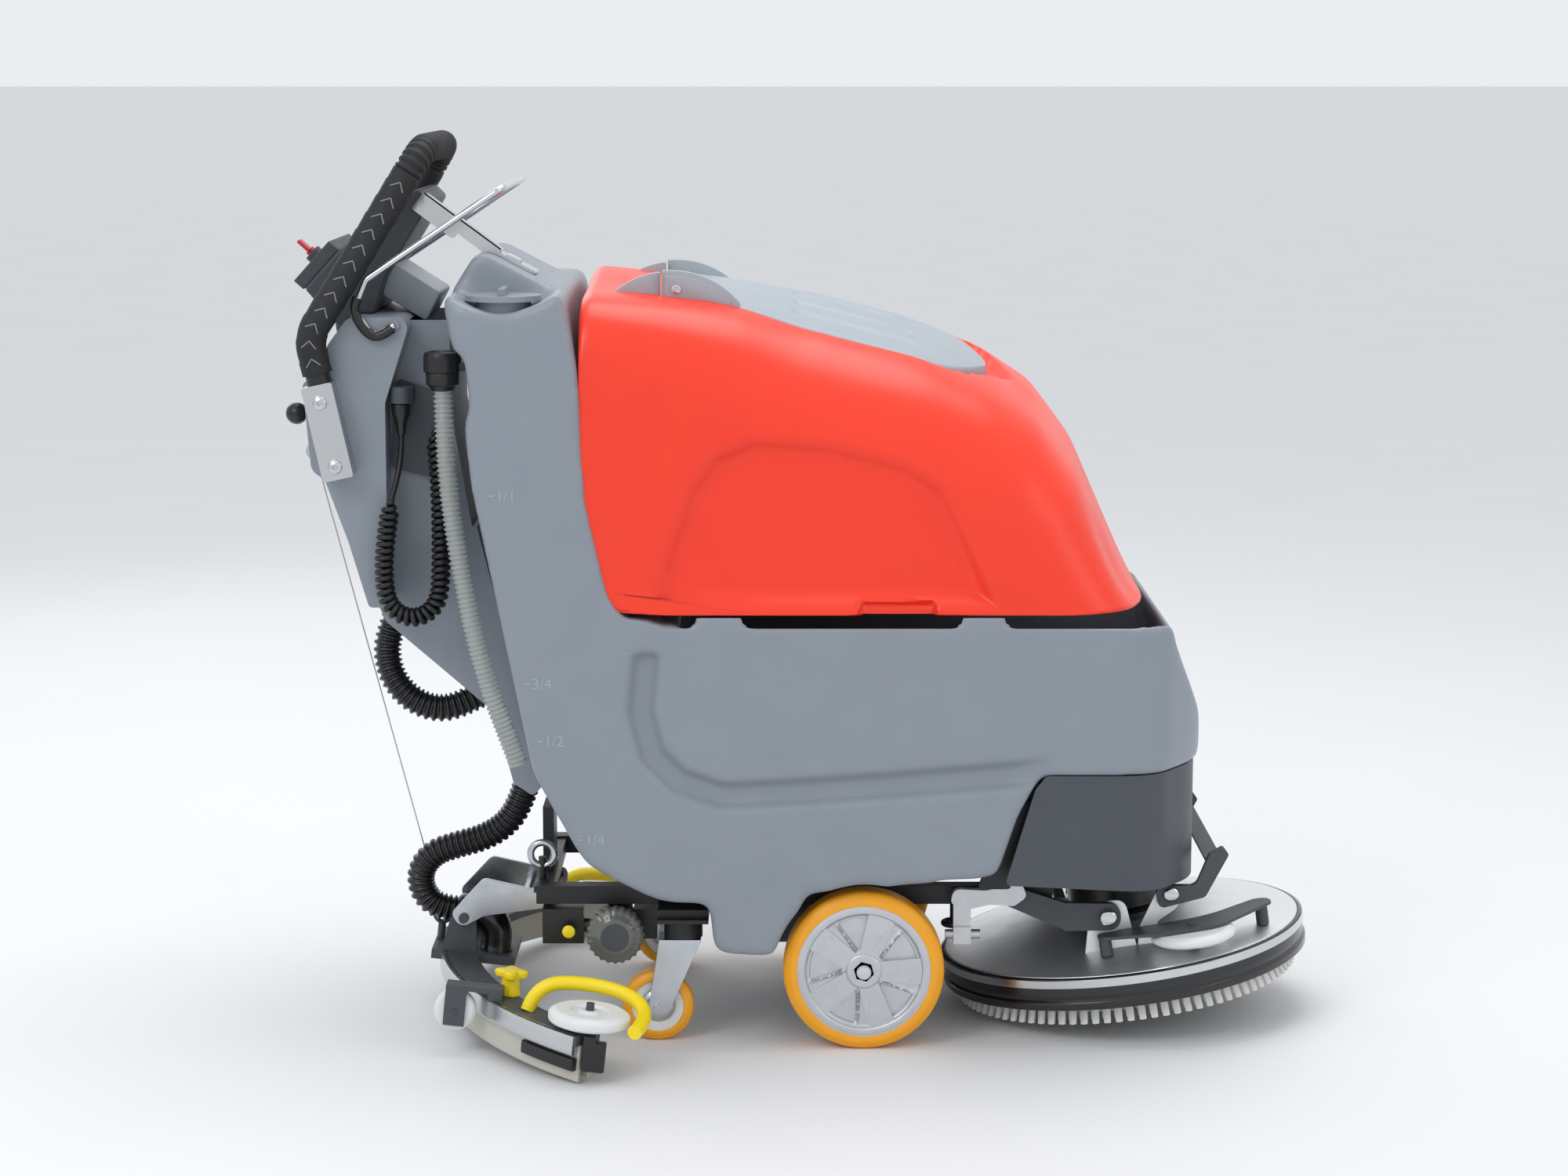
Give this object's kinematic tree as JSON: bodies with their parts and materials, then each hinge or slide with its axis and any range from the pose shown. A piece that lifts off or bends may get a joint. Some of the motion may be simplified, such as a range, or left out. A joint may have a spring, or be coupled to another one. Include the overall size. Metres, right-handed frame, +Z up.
{
  "type": "floor scrubber machine",
  "caption": "Walk-behind floor scrubber: grey water tank, red tip-off recovery tank, round brush deck in front, curved squeegee and push handle behind.",
  "frame": {"origin": "on the floor, under the centre of the machine's box", "axes": "+X forward towards the brush deck, +Y to the machine's left, +Z up"},
  "size_m": [1.3151, 0.7902, 1.1274],
  "materials": {
    "tank_grey": "rotomoulded polyethylene, fine satin grain",
    "tank_red": "rotomoulded polyethylene, semi-gloss",
    "lid_grey": "moulded polypropylene, satin",
    "cover_dark": "textured black ABS",
    "apron_dark": "vacuum-formed dark grey ABS",
    "grip_black": "foam and rubber grips",
    "tyre_yellow": "cast polyurethane",
    "cast_aluminium": "die-cast, lightly machined",
    "sheet_aluminium": "satin sheet and extrusion",
    "spun_aluminium": "spun and brushed",
    "zinc_steel": "zinc-plated steel",
    "frame_black": "powder-coated steel",
    "iron_grey": "grey powder-coated steel",
    "roller_white": "turned polyamide",
    "knob_yellow": "moulded polyamide",
    "key_red": "moulded key head on a steel stem",
    "black_plastic": "glossy moulded nylon",
    "skirt_rubber": "moulded rubber",
    "bristle_white": "nylon bristles in a moulded block",
    "blade_rubber": "cast polyurethane blade",
    "hose_black": "corrugated PVC",
    "hose_clear": "translucent corrugated PVC",
    "lead_black": "PVC-sheathed lead",
    "bowl_smoke": "smoked clear nylon",
    "battery_case": "polypropylene case",
    "steel_bright": "bright steel"
  },
  "bodies": {
    "chassis": {"solution_tank": "tank_grey", "front_apron": "apron_dark", "transaxle": "iron_grey", "chassis_frame": "frame_black", "batteries": "battery_case", "vacuum_motor": "black_plastic", "rear_console": "cover_dark", "rear_cowl": "cover_dark", "handle_tube": "zinc_steel", "handle_grips": "grip_black", "handle_brackets": "sheet_aluminium", "control_housing": "cover_dark", "control_panel": "cover_dark", "panel_strut": "steel_bright", "drain_hose": "hose_clear", "drain_cap": "black_plastic", "upper_suction_hose": "hose_black", "lower_suction_hose": "hose_black", "charger_lead": "lead_black", "charger_coil": "lead_black", "charger_plug": "lead_black", "socket_panel": "apron_dark", "water_valve": "iron_grey", "filter_bowl": "bowl_smoke", "lift_crank": "cast_aluminium"},
    "filler_cap": {"filler_cap": "black_plastic"},
    "recovery_tank": {"recovery_tank": "tank_red"},
    "tank_lid": {"tank_lid": "lid_grey"},
    "drive_wheel_right": {"drive_tyre_right": "tyre_yellow", "drive_rim_right": "cast_aluminium"},
    "drive_wheel_left": {"drive_tyre_left": "tyre_yellow", "drive_rim_left": "cast_aluminium"},
    "caster_fork_right": {"caster_fork_right": "zinc_steel"},
    "caster_fork_left": {"caster_fork_left": "zinc_steel"},
    "caster_wheel_right": {"caster_wheel_right": "tyre_yellow"},
    "caster_wheel_left": {"caster_wheel_left": "tyre_yellow"},
    "ignition_key": {"ignition_key": "key_red"},
    "start_button": {"start_button": "black_plastic"},
    "bail_rod": {"bail_rod": "steel_bright"},
    "lift_lever": {"lift_lever": "zinc_steel", "ball_knob": "black_plastic"},
    "lift_cable": {"lift_cable": "steel_bright"},
    "squeegee_arm": {"squeegee_arm": "sheet_aluminium"},
    "squeegee": {"squeegee_beam": "cast_aluminium", "squeegee_blades": "blade_rubber", "guard_bows": "knob_yellow", "suction_elbow": "black_plastic"},
    "rear_roller_right": {"rear_roller_right": "roller_white"},
    "rear_roller_left": {"rear_roller_left": "roller_white"},
    "disc_roller_right": {"disc_roller_right": "roller_white"},
    "disc_roller_left": {"disc_roller_left": "roller_white"},
    "star_knob_right": {"star_knob_right": "knob_yellow"},
    "star_knob_left": {"star_knob_left": "knob_yellow"},
    "deck_links": {"deck_links": "iron_grey"},
    "deck": {"deck_cover": "spun_aluminium", "deck_skirt": "skirt_rubber", "brush_motor": "iron_grey", "deck_irons": "iron_grey"},
    "rotary_brush": {"rotary_brush": "bristle_white"},
    "bumper_roller": {"bumper_roller": "roller_white"}
  },
  "joints": [
    {"name": "drive_wheel_right_spin", "type": "hinge", "parent": "chassis", "child": "drive_wheel_right", "pos_m": [0.081, -0.21, 0.1], "axis": [0, 1, 0], "continuous": true},
    {"name": "caster_right_swivel", "type": "hinge", "parent": "chassis", "child": "caster_fork_right", "pos_m": [-0.144, -0.18, 0.14], "axis": [0, 0, 1], "continuous": true},
    {"name": "caster_right_spin", "type": "hinge", "parent": "caster_fork_right", "child": "caster_wheel_right", "pos_m": [-0.176, -0.18, 0.045], "axis": [0, 1, 0], "continuous": true},
    {"name": "drive_wheel_left_spin", "type": "hinge", "parent": "chassis", "child": "drive_wheel_left", "pos_m": [0.081, 0.21, 0.1], "axis": [0, 1, 0], "continuous": true},
    {"name": "caster_left_swivel", "type": "hinge", "parent": "chassis", "child": "caster_fork_left", "pos_m": [-0.144, 0.18, 0.14], "axis": [0, 0, 1], "continuous": true},
    {"name": "caster_left_spin", "type": "hinge", "parent": "caster_fork_left", "child": "caster_wheel_left", "pos_m": [-0.176, 0.18, 0.045], "axis": [0, 1, 0], "continuous": true},
    {"name": "tank_tilt", "type": "hinge", "parent": "chassis", "child": "recovery_tank", "pos_m": [0, 0.243, 0.549], "axis": [-1, 0, 0], "range_deg": [0, 80]},
    {"name": "lid_open", "type": "hinge", "parent": "recovery_tank", "child": "tank_lid", "pos_m": [-0.151, 0, 0.937], "axis": [0, -1, 0], "range_deg": [0, 75]},
    {"name": "filler_cap_lift", "type": "slide", "parent": "chassis", "child": "filler_cap", "axis": [0, 0, 1], "range_m": [0, 0.04]},
    {"name": "key_turn", "type": "hinge", "parent": "chassis", "child": "ignition_key", "pos_m": [-0.60276, -0.06, 0.97466], "axis": [-0.7431, 0, 0.6691], "range_deg": [0, 90]},
    {"name": "start_button_press", "type": "slide", "parent": "chassis", "child": "start_button", "axis": [0.7431, 0, -0.6691], "range_m": [0, 0.003], "stiffness_N_per_m": 400},
    {"name": "bail_swing", "type": "hinge", "parent": "chassis", "child": "bail_rod", "pos_m": [-0.494, 0, 0.896], "axis": [0, 1, 0], "range_deg": [0, 20]},
    {"name": "lever_swing", "type": "hinge", "parent": "chassis", "child": "lift_lever", "pos_m": [-0.57, 0, 0.745], "axis": [0, 1, 0], "range_deg": [-30, 0]},
    {"name": "squeegee_arm_lift", "type": "hinge", "parent": "chassis", "child": "squeegee_arm", "pos_m": [-0.316, 0, 0.15], "axis": [0, 1, 0], "range_deg": [-10.8, 0]},
    {"name": "squeegee_pitch", "type": "hinge", "parent": "squeegee_arm", "child": "squeegee", "pos_m": [-0.43005, 0, 0.12547], "axis": [0, 1, 0], "range_deg": [0, 4.8]},
    {"name": "cable_swing", "type": "hinge", "parent": "squeegee", "child": "lift_cable", "pos_m": [-0.4634, 0, 0.11429], "axis": [0, 1, 0], "range_deg": [0, 7.2]},
    {"name": "rear_roller_right_spin", "type": "hinge", "parent": "squeegee", "child": "rear_roller_right", "pos_m": [-0.42358, -0.25783, 0.05983], "axis": [0, 1, 0], "continuous": true},
    {"name": "disc_roller_right_spin", "type": "hinge", "parent": "squeegee", "child": "disc_roller_right", "pos_m": [-0.25332, -0.34515, 0.0721], "axis": [0.1045, 0, 0.9945], "continuous": true},
    {"name": "star_knob_right_turn", "type": "hinge", "parent": "squeegee", "child": "star_knob_right", "pos_m": [-0.35707, -0.23369, 0.08301], "axis": [0.1045, 0, 0.9945], "continuous": true},
    {"name": "rear_roller_left_spin", "type": "hinge", "parent": "squeegee", "child": "rear_roller_left", "pos_m": [-0.42358, 0.25783, 0.05983], "axis": [0, 1, 0], "continuous": true},
    {"name": "disc_roller_left_spin", "type": "hinge", "parent": "squeegee", "child": "disc_roller_left", "pos_m": [-0.25332, 0.34515, 0.0721], "axis": [0.1045, 0, 0.9945], "continuous": true},
    {"name": "star_knob_left_turn", "type": "hinge", "parent": "squeegee", "child": "star_knob_left", "pos_m": [-0.35707, 0.23369, 0.08301], "axis": [0.1045, 0, 0.9945], "continuous": true},
    {"name": "deck_lift", "type": "hinge", "parent": "chassis", "child": "deck_links", "pos_m": [0.272, 0, 0.182], "axis": [0, 1, 0], "range_deg": [0, 15.03]},
    {"name": "deck_pitch", "type": "hinge", "parent": "deck_links", "child": "deck", "pos_m": [0.38905, 0, 0.15296], "axis": [0, 1, 0], "range_deg": [-7.2, 0]},
    {"name": "brush_spin", "type": "hinge", "parent": "deck", "child": "rotary_brush", "pos_m": [0.43, 0, 0.034], "axis": [-0.1392, 0, 0.9903], "continuous": true},
    {"name": "bumper_roller_spin", "type": "hinge", "parent": "deck", "child": "bumper_roller", "pos_m": [0.49472, -0.18, 0.13398], "axis": [-0.1392, 0, 0.9903], "continuous": true}
  ],
  "couplings": [
    {"joint": "squeegee_arm_lift", "follows": "lever_swing", "ratio": 0.3534},
    {"joint": "squeegee_pitch", "follows": "lever_swing", "ratio": -0.1534},
    {"joint": "cable_swing", "follows": "lever_swing", "ratio": -0.231},
    {"joint": "deck_pitch", "follows": "deck_lift", "ratio": -0.4677}
  ]
}
